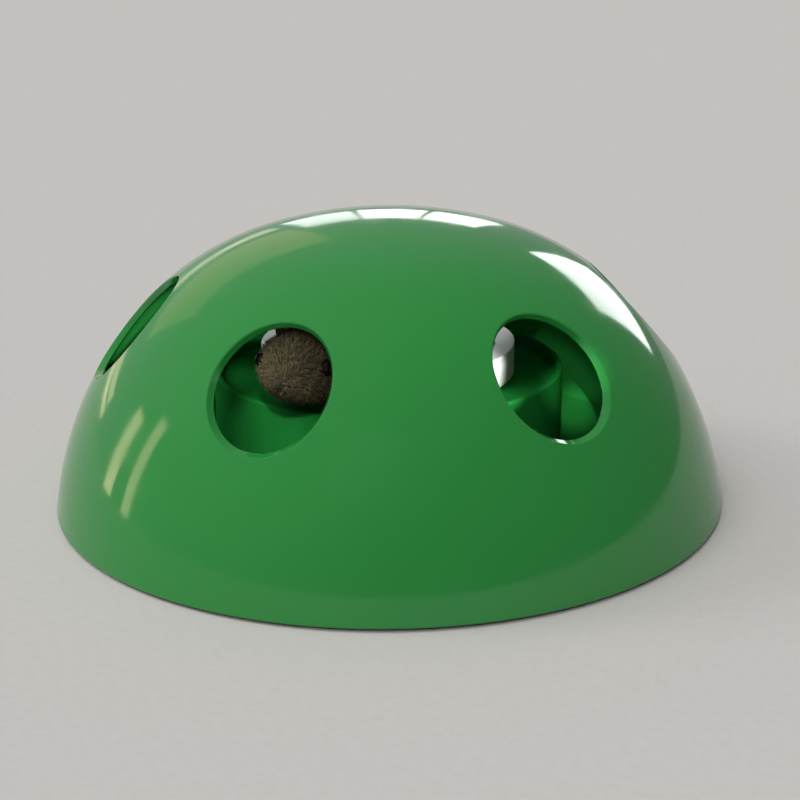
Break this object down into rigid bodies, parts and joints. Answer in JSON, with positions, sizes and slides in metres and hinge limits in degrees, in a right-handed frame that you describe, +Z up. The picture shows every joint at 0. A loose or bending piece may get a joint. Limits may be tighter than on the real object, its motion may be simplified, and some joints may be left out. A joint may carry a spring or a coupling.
{
  "type": "pop-out mouse cat toy",
  "caption": "Domed cat toy: a plush mouse and a feather on a motor-driven rotor circle under a round shell and pop out of its holes.",
  "frame": {"origin": "on the floor under the centre of the dome", "axes": "+Z up, -Y the way the mouse faces, +X to the right seen from the mouse's tail end"},
  "size_m": [0.24, 0.24, 0.1019],
  "materials": {
    "shell_green": "moulded, glossy",
    "drum_green": "moulded, glossy",
    "white_plastic": "moulded, satin",
    "acetal_white": "moulded, waxy",
    "grey_plastic": "moulded, fine texture",
    "black_plastic": "moulded, fine texture",
    "foot_rubber": "moulded, matte",
    "screw_steel": "zinc plated",
    "bright_steel": "nickel plated",
    "brass_yellow": "plain",
    "cell_silver": "printed sleeve, bare",
    "board_green": "solder mask",
    "plush_brown": "short plush",
    "bead_black": "polished",
    "ferrule_white": "moulded, satin",
    "quill_ivory": "natural horn",
    "feather_brown": "natural barbs"
  },
  "bodies": {
    "base": {"base_plate": "shell_green", "rubber_feet": "foot_rubber", "case_screws": "screw_steel", "battery_box": "black_plastic", "battery_cells": "cell_silver", "contact_springs": "bright_steel", "contact_plates": "bright_steel", "circuit_board": "board_green", "board_components": "black_plastic", "board_spacers": "grey_plastic", "board_screws": "screw_steel", "sounder": "black_plastic", "switch_body": "bright_steel", "motor_can": "bright_steel", "motor_gearbox": "brass_yellow", "motor_clamp": "grey_plastic", "clamp_screws": "screw_steel", "gear_plate": "grey_plastic", "plate_screws": "screw_steel", "idler_axle": "bright_steel", "drum_cover": "drum_green", "one_way_bearing": "bright_steel", "thrust_washer": "acetal_white"},
    "dome": {"dome_cover": "shell_green"},
    "door": {"battery_door": "shell_green"},
    "switch": {"switch_knob": "black_plastic"},
    "output": {"output_gear": "acetal_white"},
    "idler": {"idler_gear": "acetal_white"},
    "motor": {"motor_pinion": "bright_steel"},
    "rotor": {"rotor_base": "white_plastic", "rotor_cap": "white_plastic", "cap_screws": "screw_steel", "retaining_clip": "bright_steel"},
    "pinion": {"drive_pinion": "acetal_white", "drive_shaft": "bright_steel"},
    "mouse": {"mouse_rack": "white_plastic", "mouse_body": "plush_brown", "mouse_head": "plush_brown", "mouse_left_ear": "plush_brown", "mouse_right_ear": "plush_brown", "mouse_eyes": "bead_black", "mouse_nose": "plush_brown"},
    "feather": {"feather_rack": "white_plastic", "feather_ferrule": "ferrule_white", "feather_quill": "quill_ivory", "feather_vane": "feather_brown"}
  },
  "joints": [
    {"name": "dome_lift", "type": "slide", "parent": "base", "child": "dome", "axis": [0, 0, 1], "range_m": [0, 0.12]},
    {"name": "rotor_turn", "type": "hinge", "parent": "base", "child": "rotor", "pos_m": [0, 0, 0.042], "axis": [0, 0, 1], "continuous": true},
    {"name": "output_turn", "type": "hinge", "parent": "base", "child": "output", "pos_m": [0, 0, 0.0255], "axis": [0, 0, 1], "continuous": true},
    {"name": "idler_turn", "type": "hinge", "parent": "base", "child": "idler", "pos_m": [-0.01694, 0.017, 0.0298], "axis": [0, 0, 1], "continuous": true},
    {"name": "motor_turn", "type": "hinge", "parent": "base", "child": "motor", "pos_m": [0, 0.034, 0.0298], "axis": [0, 0, 1], "continuous": true},
    {"name": "mouse_pop", "type": "slide", "parent": "rotor", "child": "mouse", "axis": [0, -1, 0], "range_m": [0, 0.036]},
    {"name": "feather_pop", "type": "slide", "parent": "rotor", "child": "feather", "axis": [0, 1, 0], "range_m": [0, 0.036]},
    {"name": "pinion_turn", "type": "hinge", "parent": "rotor", "child": "pinion", "pos_m": [0, 0, 0.0517], "axis": [0, 0, 1], "range_deg": [-116, 0]},
    {"name": "switch_slide", "type": "slide", "parent": "base", "child": "switch", "axis": [1, 0, 0], "range_m": [-0.002, 0.002]},
    {"name": "door_swing", "type": "hinge", "parent": "base", "child": "door", "pos_m": [0, -0.02366, 0.00319], "axis": [-1, 0, 0], "range_deg": [0, 95]}
  ],
  "couplings": [
    {"joint": "output_turn", "follows": "rotor_turn", "ratio": 1},
    {"joint": "idler_turn", "follows": "rotor_turn", "ratio": -3},
    {"joint": "motor_turn", "follows": "rotor_turn", "ratio": 9},
    {"joint": "feather_pop", "follows": "mouse_pop", "ratio": 1},
    {"joint": "pinion_turn", "follows": "mouse_pop", "rad_per_m": -55.556}
  ]
}
